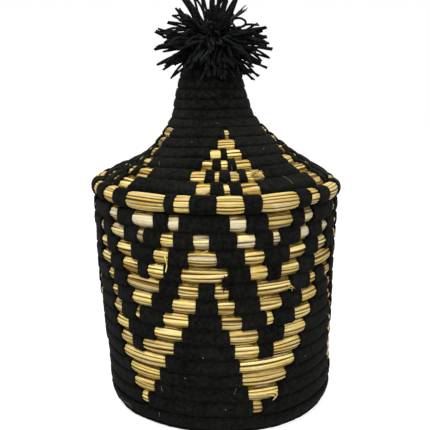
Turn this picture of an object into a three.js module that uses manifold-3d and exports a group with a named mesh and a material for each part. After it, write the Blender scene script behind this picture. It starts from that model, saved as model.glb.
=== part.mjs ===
// A lidded basket coiled from straw rope and bound with black wool, with a cone-shaped lid that
// lifts off and a wool pom-pom on top. Millimetres, +Z up, axis on Z, front on -Y, underside on
// z = 0. Angles round the basket are in degrees from the front, growing towards +X.

import * as THREE from 'three';
import { mergeVertices } from 'three/addons/utils/BufferGeometryUtils.js';
import Module from 'manifold-3d';

const wasm = await Module();
wasm.setup();

// Basket wall, base and rope
const ROPE_R = 7.35;
const RIM_R = 113;
const RIM_Z = 203.8;
const SHOULDER_R = 111.4;
const SHOULDER_Z = 135;
const WAIST_R = 107.3;
const WAIST_Z = 78;
const FOOT_R = 107.4;
const FOOT_BEND = 20;
const START_ROPE_R = 3;
const START_TAPER = 24;
const ROUND_GAP = 0.6;
const BODY_STEPS = 18;

// Lid: its thick edge, the cone, the neck and the crown, as heights above the edge's middle
const EDGE_ROPE_R = 8.3;
const EDGE_OUTSET = 1.4;
const CONE_ROPE_R = 8.8;
const CONE_SLOPE = 29;
const CONE_LOW_R = 83.5;
const CONE_LOW_Z = 18.6;
const CONE_MID_R = 60.8;
const CONE_MID_Z = 37;
const NECK_R = 34.8;
const NECK_Z = 70.8;
const NECK_TOP_R = 25.4;
const NECK_TOP_Z = 108.2;
const NECK_ROPE_R = 4.8;
const ROPE_TAPER = 90;
const CROWN_BEND = 14;
const LID_STEPS = 16;

// Wool bound round the lid's edge, as stretches of angle with bare straw between them
const WOOL_BANDS = [
  [-84, -71.5], [-66, -57.5], [-50.5, -41.5], [-22.5, -17.5], [-11.5, 0.5], [11.5, 20],
  [38, 46], [51.5, 61], [75, 84], [98, 107], [119, 131], [145, 152], [170, 182],
  [196, 203], [216, 228], [246, 256],
];
const WOOL_THICKNESS = 1.4;
const EDGE_JOINT = 176;
const RING_STEPS = 48;

// Collar inside the lid, which drops into the basket's mouth
const COLLAR_ROPE_R = 5.5;
const COLLAR_PLAY = 4;
const COLLAR_TURNS = 1.75;

// Pom-pom and the cord that ties it through the crown
const POM_R = 57;
const POM_MIDDLE_Z = 133.8;
const POM_RISE = 56;
const POM_DROP = 37;
const POM_CORE = 0.68;
const POM_SIDES = 20;
const POM_STEPS = 5;
const TUFTS = 60;
const TUFT_LOWEST = -32;
const TUFT_R = 6.6;
const TUFT_TIP_R = 2.4;
const TUFT_UNEVENNESS = 0.12;
const CORD_R = 1.8;
const KNOT_R = 7.5;
const KNOT_HEIGHT = 9;
const CORD_REACH = 26;

// Between pieces that touch
const SEAT_GAP = 0.3;

// The rope's section has six corners, at these angles from the way to the next round, so that
// two narrow sides face the rounds beside it
const SEAT_ANGLE = 20;
const CORNERS = [20, 90, 160, 200, 270, 340];

const STRAW = new THREE.MeshStandardMaterial({ color: 0xd8b56a, roughness: 0.6, metalness: 0 });
const WOOL = new THREE.MeshStandardMaterial({ color: 0x1b1b1c, roughness: 0.95, metalness: 0 });
const YARN = new THREE.MeshStandardMaterial({ color: 0x141415, roughness: 1, metalness: 0 });

const radians = THREE.MathUtils.degToRad;

// Half the height of a rope's section between its two narrow sides
function seatHalf(ropeR) {
  return ropeR * Math.cos(radians(SEAT_ANGLE));
}

// A point at an angle round the axis
function around(angle, r, z) {
  return new THREE.Vector3(r * Math.sin(radians(angle)), -r * Math.cos(radians(angle)), z);
}

// The section's corners where the rope crosses one half-plane through the axis
function section(angle, middle, onward, ropeR) {
  const outward = new THREE.Vector2(-onward.y, onward.x);
  return CORNERS.map((corner) => {
    const point = middle.clone();
    point.addScaledVector(onward, ropeR * Math.cos(radians(corner)));
    point.addScaledVector(outward, ropeR * Math.sin(radians(corner)));
    return around(angle, point.x, point.y);
  });
}

// A closed tube through sections that follow one another towards growing angles
function tube(sections) {
  const count = sections[0].length;
  const triangles = [];
  for (let s = 0; s + 1 < sections.length; s += 1) {
    for (let c = 0; c < count; c += 1) {
      const here = s * count + c;
      const beside = s * count + ((c + 1) % count);
      triangles.push(here, here + count, beside + count, here, beside + count, beside);
    }
  }
  const last = (sections.length - 1) * count;
  for (let c = 1; c + 1 < count; c += 1) {
    triangles.push(0, c, c + 1, last, last + c + 1, last + c);
  }
  const geometry = new THREE.BufferGeometry();
  geometry.setFromPoints(sections.flat());
  geometry.setIndex(triangles);
  return geometry;
}

function toSolid(geometry) {
  const plain = geometry.clone();
  plain.deleteAttribute('normal');
  plain.deleteAttribute('uv');
  const merged = mergeVertices(plain, 1e-5);
  return new wasm.Manifold(new wasm.Mesh({
    numProp: 3,
    vertProperties: new Float32Array(merged.attributes.position.array),
    triVerts: new Uint32Array(merged.index.array),
  }));
}

function toGeometry(solid) {
  const mesh = solid.getMesh();
  const geometry = new THREE.BufferGeometry();
  geometry.setAttribute('position', new THREE.BufferAttribute(mesh.vertProperties, 3));
  geometry.setIndex(new THREE.BufferAttribute(mesh.triVerts, 1));
  geometry.computeVertexNormals();
  return geometry;
}

// How far a line turns over one rope's thickness, halved
function halfBend(line, along, ropeR) {
  const length = line.getLength();
  const before = line.getTangentAt(THREE.MathUtils.clamp((along - ropeR) / length, 0, 1));
  const after = line.getTangentAt(THREE.MathUtils.clamp((along + ropeR) / length, 0, 1));
  return Math.acos(THREE.MathUtils.clamp(before.dot(after), -1, 1)) / 2;
}

// The way along the line from one round to the next, longer where the line bends
function roundPitch(line, along, ropeR) {
  const bend = halfBend(line, along, ropeR);
  const lean = Math.max(0, radians(SEAT_ANGLE) - bend);
  const straight = 2 * ropeR * Math.cos(lean) + ROUND_GAP;
  return bend < 0.01 ? straight : straight * bend / Math.sin(bend);
}

// Distances along the line for fractions of a round, from the outer end inwards
function layRounds(line, ropeAt, parts) {
  const reach = [0];
  while (reach.at(-1) < line.getLength()) {
    const along = reach.at(-1);
    reach.push(along + roundPitch(line, along, ropeAt(along)) / parts);
  }
  return reach;
}

// Each round lies level over the front half and steps to the next one over the back half
function stepOver(turn) {
  const part = turn - Math.floor(turn);
  const t = Math.max(0, part * 2 - 1);
  return Math.floor(turn) + t * t * (3 - 2 * t);
}

// The least gap between one round's section and the next one's in the same half-plane
function gapBetween(sectionA, sectionB) {
  let least = Infinity;
  const side = new THREE.Line3();
  const foot = new THREE.Vector3();
  for (const [from, to] of [[sectionA, sectionB], [sectionB, sectionA]]) {
    for (const point of from) {
      to.forEach((corner, c) => {
        side.set(corner, to[(c + 1) % to.length]);
        side.closestPointToPoint(point, true, foot);
        least = Math.min(least, foot.distanceTo(point));
      });
    }
  }
  return least;
}

// One unbroken rope wound along a line from its outer end inwards. The outer end thins out
// over the round below it, so that the last round lies level.
function windRope(name, line, ropeAt, steps, turns = Infinity) {
  const fine = 48;
  const length = line.getLength();
  const reach = layRounds(line, ropeAt, fine);
  const sections = [];
  const outerR = ropeAt(0);
  const start = line.getPointAt(0);
  const onwardAtStart = line.getTangentAt(0);
  const pitch = 2 * seatHalf(outerR) + ROUND_GAP;
  for (let s = steps / 2; s > 0; s -= 1) {
    const free = (stepOver(1 - s / steps) * pitch - ROUND_GAP) / 2;
    const tailR = outerR * free / seatHalf(outerR);
    if (tailR > outerR / 3) {
      const middle = start.clone().addScaledVector(onwardAtStart, free - seatHalf(outerR));
      sections.push(section(-90 - s * 360 / steps, middle, onwardAtStart, tailR));
    }
  }
  const tailCount = sections.length;
  for (let s = 0; s / steps <= turns; s += 1) {
    const level = stepOver(s / steps) * fine;
    const index = Math.floor(level);
    if (index + 1 >= reach.length) break;
    const along = THREE.MathUtils.lerp(reach[index], reach[index + 1], level - index);
    if (along > length) break;
    const middle = line.getPointAt(along / length);
    const onward = line.getTangentAt(along / length);
    sections.push(section(-90 + s * 360 / steps, middle, onward, ropeAt(along)));
  }
  let least = Infinity;
  for (let s = 0; s + steps < sections.length; s += 1) {
    least = Math.min(least, gapBetween(sections[s], sections[s + steps]));
  }
  const rounds = (sections.length - 1 - tailCount) / steps;
  console.log(`${name}: ${rounds.toFixed(1)} rounds, least gap to itself ${least.toFixed(2)} mm`);
  return tube(sections);
}

// The section of a level rope that lies round the axis
function levelSection(angle, r, z, ropeR) {
  return section(angle, new THREE.Vector2(r, z), new THREE.Vector2(0, -1), ropeR);
}

// Angles from one to another, by way of the ring's even steps and any marks between them
function anglesOver(from, to, marks = []) {
  const angles = [from, to, ...marks];
  const step = 360 / RING_STEPS;
  for (let a = Math.ceil(from / step) * step; a < to; a += step) angles.push(a);
  angles.sort((a, b) => a - b);
  return angles.filter((angle, index) => index === 0 || angle - angles[index - 1] > 0.05);
}

// A stretch of level rope between two angles
function arcOfRope(r, z, ropeR, from, to) {
  return tube(anglesOver(from, to).map((angle) => levelSection(angle, r, z, ropeR)));
}

// Places that the lid takes from the basket's rim
const rimTopZ = RIM_Z + seatHalf(ROPE_R);
const edgeR = RIM_R + EDGE_OUTSET;
const edgeZ = rimTopZ + SEAT_GAP + seatHalf(EDGE_ROPE_R);
const crownZ = edgeZ + NECK_TOP_Z + CROWN_BEND;
const crownTopZ = crownZ + NECK_ROPE_R;
const coneLow = new THREE.Vector2(CONE_LOW_R, edgeZ + CONE_LOW_Z);

// Moves the middle of a rope's section along a way until it almost touches a fixed section
function bringUp(fixed, middle, way, sectionAt) {
  for (let n = 0; n < 40; n += 1) {
    middle.addScaledVector(way, gapBetween(fixed, sectionAt(middle)) - SEAT_GAP);
  }
  return middle;
}

// The cone's first round lies against the edge, inside and above it
function coneSection(middle) {
  return section(0, middle, coneLow.clone().sub(middle).normalize(), CONE_ROPE_R);
}

function seatCone() {
  const way = new THREE.Vector2(Math.cos(radians(CONE_SLOPE)), -Math.sin(radians(CONE_SLOPE)));
  const middle = new THREE.Vector2(edgeR, edgeZ);
  middle.addScaledVector(way, -1.3 * (EDGE_ROPE_R + CONE_ROPE_R));
  return bringUp(levelSection(0, edgeR, edgeZ, EDGE_ROPE_R), middle, way, coneSection);
}

const coneStart = seatCone();

// Basket: one rope from the rim down the wall, round the foot and in to the middle of the base,
// shaved flat underneath by a tenth of its thickness. The rope starts thin in the middle.
function bodyCoil() {
  const shaved = (ropeR) => ropeR - 2 * ropeR / 10;
  const baseZ = shaved(ROPE_R);
  const line = new THREE.Path();
  line.moveTo(RIM_R, RIM_Z);
  line.splineThru([
    new THREE.Vector2(SHOULDER_R, SHOULDER_Z),
    new THREE.Vector2(WAIST_R, WAIST_Z),
    new THREE.Vector2(FOOT_R, baseZ + FOOT_BEND),
  ]);
  line.absarc(FOOT_R - FOOT_BEND, baseZ + FOOT_BEND, FOOT_BEND, 0, -Math.PI / 2, true);
  line.lineTo(START_ROPE_R + START_TAPER, baseZ);
  line.lineTo(START_ROPE_R + ROUND_GAP, shaved(START_ROPE_R));
  const full = line.getLength() - START_TAPER;
  const ropeAt = (along) => {
    const thin = Math.max(0, along - full) / START_TAPER;
    return THREE.MathUtils.lerp(ROPE_R, START_ROPE_R, thin);
  };
  const rope = toSolid(windRope('body_coil', line, ropeAt, BODY_STEPS));
  return toGeometry(rope.trimByPlane([0, 0, 1], 0));
}

// Lid: one rope from beside the edge up the cone and the neck, closing over the crown round the
// hole for the pom-pom's cord
function lidCoil() {
  const line = new THREE.Path();
  line.moveTo(coneStart.x, coneStart.y);
  line.splineThru([
    coneLow,
    new THREE.Vector2(CONE_MID_R, edgeZ + CONE_MID_Z),
    new THREE.Vector2(NECK_R, edgeZ + NECK_Z),
    new THREE.Vector2(NECK_TOP_R, edgeZ + NECK_TOP_Z),
  ]);
  line.absarc(NECK_TOP_R - CROWN_BEND, edgeZ + NECK_TOP_Z, CROWN_BEND, 0, Math.PI / 2, false);
  line.lineTo(seatHalf(NECK_ROPE_R) + CORD_R + SEAT_GAP, crownZ);
  const ropeAt = (along) => {
    const thick = Math.max(0, 1 - along / ROPE_TAPER) ** 2;
    return THREE.MathUtils.lerp(NECK_ROPE_R, CONE_ROPE_R, thick);
  };
  return windRope('lid_coil', line, ropeAt, LID_STEPS);
}

// The edge's straw ring, drawn in under each wool band, with its ends butted under one of them
const boundCoreR = EDGE_ROPE_R - WOOL_THICKNESS - SEAT_GAP;

function edgeCoil() {
  const slit = THREE.MathUtils.radToDeg(SEAT_GAP / edgeR) / 2;
  const bands = WOOL_BANDS.flatMap(([start, end]) => [[start, end], [start - 360, end - 360]]);
  const bound = (angle) => bands.some(([start, end]) => angle > start && angle < end);
  const from = EDGE_JOINT - 360 + slit;
  const to = EDGE_JOINT - slit;
  const ends = bands.flat().filter((angle) => angle > from && angle < to);
  const angles = anglesOver(from, to, ends);
  const sections = [];
  for (let a = 0; a + 1 < angles.length; a += 1) {
    const ropeR = bound((angles[a] + angles[a + 1]) / 2) ? boundCoreR : EDGE_ROPE_R;
    sections.push(levelSection(angles[a], edgeR, edgeZ, ropeR));
    const next = angles[a + 2];
    const same = next && bound((angles[a + 1] + next) / 2) === (ropeR === boundCoreR);
    if (!same) sections.push(levelSection(angles[a + 1], edgeR, edgeZ, ropeR));
  }
  return tube(sections);
}

// One band of wool, wound flush with the straw beside it
function woolBand(start, end) {
  const clear = THREE.MathUtils.radToDeg(SEAT_GAP / edgeR);
  const outside = arcOfRope(edgeR, edgeZ, EDGE_ROPE_R, start + clear, end - clear);
  const bore = arcOfRope(edgeR, edgeZ, boundCoreR + SEAT_GAP, start - 1, end + 1);
  return toGeometry(toSolid(outside).subtract(toSolid(bore)));
}

// Collar sewn under the cone's first round, just inside the basket's mouth
function collarCoil() {
  const r = RIM_R - ROPE_R - COLLAR_PLAY - COLLAR_ROPE_R;
  const under = new THREE.Vector2(r, coneStart.y - 2 * (CONE_ROPE_R + COLLAR_ROPE_R));
  const collarSection = (middle) => levelSection(0, middle.x, middle.y, COLLAR_ROPE_R);
  bringUp(coneSection(coneStart), under, new THREE.Vector2(0, 1), collarSection);
  const line = new THREE.Path();
  line.moveTo(r, under.y);
  line.lineTo(r, under.y - 3 * COLLAR_ROPE_R);
  return windRope('collar_coil', line, () => COLLAR_ROPE_R, BODY_STEPS, COLLAR_TURNS);
}

// Room in the pom-pom for the cord, the crown and the neck
function pomPomBore() {
  const facet = Math.cos(Math.PI / POM_SIDES);
  const cordBore = (CORD_R + SEAT_GAP) / facet;
  const headBore = (2 * CORD_R + SEAT_GAP) / facet;
  const headTop = crownTopZ + CORD_REACH;
  const profile = [
    new THREE.Vector2(0, headTop + SEAT_GAP),
    new THREE.Vector2(headBore, headTop + SEAT_GAP),
    new THREE.Vector2(headBore, headTop - 4 * CORD_R - SEAT_GAP),
    new THREE.Vector2(cordBore, headTop - 4 * CORD_R - SEAT_GAP),
    new THREE.Vector2(cordBore, crownTopZ + SEAT_GAP),
  ];
  const crown = new THREE.Path();
  const bore = (CROWN_BEND + NECK_ROPE_R + SEAT_GAP) / facet / Math.cos(Math.PI / 12);
  crown.absarc(NECK_TOP_R - CROWN_BEND, edgeZ + NECK_TOP_Z, bore, Math.PI / 2, 0, true);
  profile.push(...crown.getPoints(3));
  const neckR = (NECK_R + NECK_ROPE_R + SEAT_GAP) / facet;
  profile.push(new THREE.Vector2(neckR, edgeZ + NECK_Z));
  profile.push(new THREE.Vector2(0, edgeZ + NECK_Z));
  const geometry = new THREE.LatheGeometry(profile.reverse(), POM_SIDES);
  geometry.rotateX(Math.PI / 2);
  return toSolid(geometry);
}

// The pom-pom's outline: how far it reaches from its middle at an angle above the level
function pomReach(lift) {
  const height = lift < 0 ? POM_DROP : POM_RISE;
  return 1 / Math.hypot(Math.cos(lift) / POM_R, Math.sin(lift) / height);
}

// Pom-pom: tufts of cut yarn that stand out all round a dense middle and hang over the neck
function pomPom() {
  const middleZ = edgeZ + POM_MIDDLE_Z;
  const outline = [];
  for (let s = 0; s <= 2 * POM_STEPS; s += 1) {
    const lift = (s / POM_STEPS - 1) * Math.PI / 2;
    const reach = POM_CORE * pomReach(lift);
    outline.push(new THREE.Vector2(reach * Math.abs(Math.cos(lift)), reach * Math.sin(lift)));
  }
  outline[0].x = 0;
  outline.at(-1).x = 0;
  const ball = new THREE.LatheGeometry(outline, POM_SIDES);
  ball.rotateX(Math.PI / 2);
  const pieces = [toSolid(ball)];
  const goldenAngle = 180 * (3 - Math.sqrt(5));
  const lowest = Math.sin(radians(TUFT_LOWEST));
  for (let t = 0; t < TUFTS; t += 1) {
    const lift = Math.asin(THREE.MathUtils.lerp(lowest, 1, (t + 0.5) / TUFTS));
    const length = pomReach(lift) * (1 - TUFT_UNEVENNESS * (t % 3) / 2);
    const spread = [[0, 0], [TUFT_R, 0.5], [TUFT_R * 0.8, 0.8], [TUFT_TIP_R, 1], [0, 1]];
    const side = spread.map(([r, part]) => new THREE.Vector2(r, part * length));
    const tuft = new THREE.LatheGeometry(side, 6);
    tuft.rotateX(Math.PI - lift);
    tuft.rotateZ(radians(t * goldenAngle));
    pieces.push(toSolid(tuft));
  }
  const pomPomSolid = wasm.Manifold.union(pieces).translate([0, 0, middleZ]);
  return toGeometry(pomPomSolid.subtract(pomPomBore()));
}

// Cord of the pom-pom, knotted under the crown and again inside the ball
function pomPomTie() {
  const knotTop = crownZ - NECK_ROPE_R - SEAT_GAP;
  const headTop = crownTopZ + CORD_REACH;
  const profile = [
    [0, knotTop - KNOT_HEIGHT], [KNOT_R * 0.7, knotTop - KNOT_HEIGHT],
    [KNOT_R, knotTop - KNOT_HEIGHT / 2], [KNOT_R * 0.7, knotTop],
    [CORD_R, knotTop], [CORD_R, headTop - 4 * CORD_R],
    [2 * CORD_R, headTop - 4 * CORD_R], [2 * CORD_R, headTop], [0, headTop],
  ];
  const points = profile.map(([r, z]) => new THREE.Vector2(r, z));
  const geometry = new THREE.LatheGeometry(points, POM_SIDES / 2);
  geometry.rotateX(Math.PI / 2);
  return toGeometry(toSolid(geometry));
}

const basket = new THREE.Group();

function addPiece(name, geometry, material) {
  const mesh = new THREE.Mesh(geometry, material);
  mesh.name = name;
  basket.add(mesh);
}

addPiece('body_coil', bodyCoil(), WOOL);
addPiece('edge_coil', edgeCoil(), STRAW);
WOOL_BANDS.forEach(([start, end], index) => {
  addPiece(`edge_binding_${index + 1}`, woolBand(start, end), WOOL);
});
addPiece('lid_coil', lidCoil(), WOOL);
addPiece('collar_coil', collarCoil(), STRAW);
addPiece('pompom', pomPom(), YARN);
addPiece('pompom_tie', pomPomTie(), YARN);

export default basket;
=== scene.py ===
# A lidded basket coiled from straw rope and bound with black wool, with a cone-shaped lid and a
# wool pom-pom. Metres, +Z up, front on -Y. Angles round the basket are in degrees from the
# front, growing towards +X.

import math
import random

import bpy
import mathutils
import numpy as np
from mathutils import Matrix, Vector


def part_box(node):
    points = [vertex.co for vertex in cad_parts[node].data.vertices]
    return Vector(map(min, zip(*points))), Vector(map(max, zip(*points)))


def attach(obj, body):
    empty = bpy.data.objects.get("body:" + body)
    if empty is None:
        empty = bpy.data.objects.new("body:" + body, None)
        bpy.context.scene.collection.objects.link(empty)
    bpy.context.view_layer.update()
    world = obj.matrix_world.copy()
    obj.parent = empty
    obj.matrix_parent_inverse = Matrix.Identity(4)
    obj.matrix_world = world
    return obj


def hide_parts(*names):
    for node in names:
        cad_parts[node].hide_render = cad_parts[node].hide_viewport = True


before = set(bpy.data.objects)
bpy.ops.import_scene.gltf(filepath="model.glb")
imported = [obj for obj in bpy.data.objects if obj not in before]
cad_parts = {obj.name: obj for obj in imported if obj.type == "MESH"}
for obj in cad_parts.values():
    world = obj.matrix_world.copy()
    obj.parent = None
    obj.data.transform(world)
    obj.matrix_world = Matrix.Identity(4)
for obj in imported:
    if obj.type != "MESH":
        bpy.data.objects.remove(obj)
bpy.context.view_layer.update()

for leftover in ("Cube", "Light", "Camera"):
    if leftover in bpy.data.objects:
        bpy.data.objects.remove(bpy.data.objects[leftover])

# The basket's rope: a bundle of straw bound with black wool and coiled in one length from the
# middle of the base to the rim. Where the binding skips, the bare straw shows and makes the
# pattern. Each round lies level across the front and steps to the next one at the back.

# Round, its radius, its height, the rope's thickness halved and how far the round sags at the
# front, from the rim to the base
BODY_ROUNDS = [
    (1, 0.1127, 0.2036, 0.0077, 0.0020),
    (4, 0.1120, 0.1589, 0.0076, 0.0030),
    (7, 0.1113, 0.1152, 0.0074, 0.0032),
    (10, 0.1096, 0.0726, 0.0073, 0.0032),
    (11, 0.1078, 0.0586, 0.0073, 0.0032),
    (13, 0.1070, 0.0306, 0.0072, 0.0030),
    (14, 0.1052, 0.0155, 0.0070, 0.0012),
    (15, 0.0990, 0.0064, 0.0069, 0),
    (16, 0.0850, 0.0062, 0.0069, 0),
    (21, 0.0120, 0.0062, 0.0069, 0),
    (22, -0.0020, 0.0062, 0.0062, 0),
]
BODY_TURNS = 20.85
# The rope starts as a thin end, so many turns before it has its whole thickness
THIN_END = -0.46

# Bare straw in each round from the rim down, in degrees, as far as the front shows it
BODY_PATTERN = [
    [(-54, -48.5), (-38.5, -28), (-20.5, -16), (6, 13), (23, 35.5), (43, 48.5), (68, 72)],
    [(-64, -61), (-53.5, -44.5), (-36.5, -33), (-24.5, -18.5), (-9.5, -3), (9, 17), (25.5, 29),
     (40.5, 46), (56.5, 61.5)],
    [(-64.5, -58.5), (-49.5, -40.5), (-28, -21), (-12, 0), (12.5, 21), (34.5, 44), (53.5, 61)],
    [(-66, -56), (-46.5, -37), (-31, -23.5), (-15, 4.5), (15, 23), (30, 40), (50.5, 68)],
    [(-59, -54), (-44, -26), (-16.5, -8), (-0.5, 5), (18, 35), (47, 51.5), (60, 68)],
    [(-56, -52), (-41, -30), (-19.5, -9.5), (0.5, 7.5), (19.5, 30), (42, 52.5), (65, 70)],
    [(-55.5, -49.5), (-39, -37), (-24, -12.5), (2, 11), (22.5, 25.5), (37.5, 48), (67, 72)],
    [(-54.5, -45), (-29, -16), (5.5, 18), (31.5, 44.5)],
    [(-51.5, -43), (-36, -20), (7.5, 18.5), (26, 41)],
    [(-50.5, -24.5), (9.5, 37)],
    [(-47, -28.5), (11, 32.5)],
    [(-45, -32.5), (13.5, 28)],
    [(-40.5, -37), (15.5, 19.5)],
]
FRONT_SHOWN = (-72, 72)
# Behind that the motif is repeated this far on, and spans closer together than the narrowest
# wool are one
BODY_REPEAT = 60
NARROWEST_WOOL = 1.2
# How bare the rope still is a little way in under the wool, and how far from a bare stretch its
# other points stay
UNDER_WOOL = ((0.0002, 0.22), (0.0007, 0.06), (0.0020, 0.0))
CLEAR_OF_BARE = 0.0022
# How far a bundle of bare straw runs on in under the wool, how deep it lies sunk at its ends, and
# how far it swells from there
TUCK = 0.003
ENDS_SUNK = 0.0018
BUNDLE_SWELL = 0.0017


def lean(height):
    """How far the hand-made basket leans to the side at a height."""
    heights = [0, 0.03, 0.10, 0.20, 0.225, 0.252, 0.266, 0.287, 0.310, 0.41]
    sideways = [0.003, 0.0026, 0, -0.0018, -0.0015, 0.0006, -0.0008, -0.0040, -0.0058, -0.0050]
    return np.interp(height, heights, sideways)


def wobble(angle, height):
    """Small unevenness of a hand-wound wall, outwards and upwards."""
    turn = np.radians(angle)
    out = 0.0007 * np.sin(2 * turn + 21 * height) + 0.0005 * np.sin(5 * turn - 33 * height + 1)
    up = 0.0005 * np.sin(3 * turn + 17 * height + 2) + 0.0003 * np.sin(7 * turn + 40 * height)
    return out, up


def rope_way(rounds, turns):
    """Middle, outward and onward directions and half thickness of a wound rope at each turn."""
    number, radius, height, thick, sag = np.array(rounds).T
    turns = np.asarray(turns, float)
    angle = -90 + 360 * turns
    step = np.clip(2 * (turns - np.floor(turns)) - 1, 0, 1)
    step = step * step * (3 - 2 * step)
    # Before its first turn the rope runs out thinner and thinner
    tail = turns < 0
    row = np.where(tail, 1, 1 + np.floor(turns) + step)
    flat = np.stack([
        np.interp(row + 0.5, number, radius) - np.interp(row - 0.5, number, radius),
        np.interp(row + 0.5, number, height) - np.interp(row - 0.5, number, height),
    ])
    flat = flat / np.linalg.norm(flat, axis=0)
    half = np.interp(row, number, thick)
    thinned = np.where(tail, half * step, half)
    out, up = wobble(angle, np.interp(row, number, height))
    # The unevenness fades out towards the middle of the base and the crown
    fade = np.clip(np.interp(row, number, radius) / 0.05, 0, 1)
    r = np.interp(row, number, radius) + out * fade - flat[0] * (half - thinned)
    z = np.interp(row, number, height) + up * fade * abs(flat[1]) - flat[1] * (half - thinned)
    sine, cosine = np.sin(np.radians(angle)), np.cos(np.radians(angle))
    z = z - np.interp(row, number, sag) * np.clip(cosine, 0, 1) ** 2
    return {
        "centre": np.stack([r * sine + lean(z), -r * cosine, z], 1),
        "outward": np.stack([-flat[1] * sine, flat[1] * cosine, flat[0]], 1),
        "onward": np.stack([flat[0] * sine, -flat[0] * cosine, flat[1]], 1),
        "thick": thinned,
        "radius": np.maximum(r, 0.004),
    }


def body_way(turns):
    return rope_way(BODY_ROUNDS, turns)


def turn_per_metre(way_at, turn):
    return 1 / (2 * math.pi * max(way_at([turn])["radius"][0], 0.006))


def even_turns(way_at, first, last, spacing):
    """Turns along a rope's way that lie a steady distance apart."""
    turns = [first]
    while turns[-1] < last:
        turns.append(turns[-1] + spacing * turn_per_metre(way_at, turns[-1]))
    turns[-1] = last
    return turns


def joined(spans, gap):
    """Spans in order, with those less than a gap apart made one."""
    done = []
    for start, end in sorted(spans):
        if done and start - done[-1][1] < gap:
            done[-1][1] = max(end, done[-1][1])
        else:
            done.append([start, end])
    return done


def all_round(shown):
    """A round's spans at the front, and the motif repeated behind them up to the other side."""
    spans = [(a + shift, b + shift) for a, b in shown for shift in (0, 180)]
    low, high = FRONT_SHOWN[1] - BODY_REPEAT, FRONT_SHOWN[0] + 180 - BODY_REPEAT
    for shift in (BODY_REPEAT, BODY_REPEAT + 180):
        spans += [
            (max(a, low) + shift, min(b, high) + shift) for a, b in shown if b > low and a < high
        ]
    spans = joined([(a + turn, b + turn) for a, b in spans for turn in (-360, 0, 360)],
                   NARROWEST_WOOL)
    return [(max(a, -90), min(b, 270)) for a, b in spans if b > -90 and a < 270]


def bare_turns(rows):
    """Spans of bare straw as turns of the rope, one list for the whole rope."""
    spans = [[(a + 90) / 360 + row, (b + 90) / 360 + row]
             for row, shown in enumerate(rows) for a, b in shown]
    return joined(spans, NARROWEST_WOOL / 360)


def bound_way(way_at, first, last, spacing, bare):
    """The rope's way with its bare stretches marked, and points close together at their ends."""
    marks = {turn: 0.0 for turn in even_turns(way_at, first, last, spacing)}
    for start, end in bare:
        tight = turn_per_metre(way_at, start)
        clear = CLEAR_OF_BARE * tight
        for turn in [turn for turn in marks if start - clear < turn < end + clear]:
            del marks[turn]
        inside = max(2, round((end - start) / tight / spacing))
        for k in range(inside + 1):
            marks[start + (end - start) * k / inside] = 1.0
        for edge, side in ((start, -1), (end, 1)):
            for distance, bareness in UNDER_WOOL:
                marks[edge + side * distance * tight] = bareness
    order = sorted(marks)
    way = way_at(order)
    way["bare"] = np.array([marks[turn] for turn in order])
    return way


def bare_ways(way_at, bare, spacing, tuck, paleness=([0], [-0.2]), press=([0], [1.0])):
    """One short way for each bare stretch, running a little way in under the wool.

    Paleness is the share of whitish stalks, and press how tall the bundle is, both by round."""
    dice = random.Random(5)
    ways = []
    for start, end in bare:
        tight = turn_per_metre(way_at, start)
        length = (end - start) / tight
        count = max(6, round(length / spacing) + 2)
        way = way_at(np.linspace(start - tuck * tight, end + tuck * tight, count))
        swell = np.sin(np.pi * np.linspace(0, 1, count)) ** 0.5 * min(0.5 + length / 0.05, 1)
        way["thick"] = way["thick"] - ENDS_SUNK + BUNDLE_SWELL * swell
        pale = np.interp(1 + int(start), *paleness) + dice.uniform(-0.2, 0.2)
        way["pale"] = np.full(count, max(0, min(1, pale)))
        way["press"] = np.full(count, np.interp(1 + int(start), *press))
        ways.append(way)
    return ways


def path_mesh(name, ways):
    """Open paths as one mesh of edges, with each way's facts as attributes of its points."""
    points = np.concatenate([way["centre"] for way in ways])
    edges, first = [], 0
    for way in ways:
        count = len(way["centre"])
        edges += [(first + k, first + k + 1) for k in range(count - 1)]
        first += count
    mesh = bpy.data.meshes.new(name)
    mesh.from_pydata(points.tolist(), edges, [])
    for label in [label for label in ways[0] if label != "centre"]:
        values = np.concatenate([way[label] for way in ways]).astype(np.float32)
        kind, key = ("FLOAT_VECTOR", "vector") if values.ndim == 2 else ("FLOAT", "value")
        mesh.attributes.new(label, kind, "POINT").data.foreach_set(key, values.ravel())
    return mesh


def strand_way(points, half, brown=0.0, depth=1.0, count=12):
    """A single strand along a smooth curve through its points."""
    points = np.array(points, float)
    at = np.linspace(0, len(points) - 1, count)
    span = np.minimum(at.astype(int), len(points) - 2)
    padded = np.concatenate([2 * points[:1] - points[1:2], points, 2 * points[-1:] - points[-2:-1]])
    t = (at - span)[:, None]
    a, b, c, d = (padded[span + k] for k in range(4))
    centre = 0.5 * (2 * b + (c - a) * t + (2 * a - 5 * b + 4 * c - d) * t ** 2
                    + (3 * b - a - 3 * c + d) * t ** 3)
    return {
        "centre": centre,
        "half": np.full(count, half),
        "brown": np.full(count, brown),
        "depth": np.full(count, depth),
    }


def connect(tree, node, inputs):
    """Gives inputs of a node, by name or number, their values or other nodes' sockets."""
    for name, value in inputs.items():
        if isinstance(value, bpy.types.Node):
            value = value.outputs[0]
        if isinstance(value, bpy.types.NodeSocket):
            tree.links.new(value, node.inputs[name])
        else:
            node.inputs[name].default_value = value


def put(tree, kind, inputs=None, **settings):
    """Adds a node with its settings and inputs."""
    made = tree.nodes.new(kind)
    for name, value in settings.items():
        setattr(made, name, value)
    connect(tree, made, inputs or {})
    return made


def maths(tree, operation, *values):
    return put(tree, "ShaderNodeMath", dict(enumerate(values)), operation=operation).outputs[0]


def plus(tree, first, second):
    return maths(tree, "ADD", first, second)


def minus(tree, first, second):
    return maths(tree, "SUBTRACT", first, second)


def times(tree, first, second):
    return maths(tree, "MULTIPLY", first, second)


def over(tree, first, second):
    return maths(tree, "DIVIDE", first, second)


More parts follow.
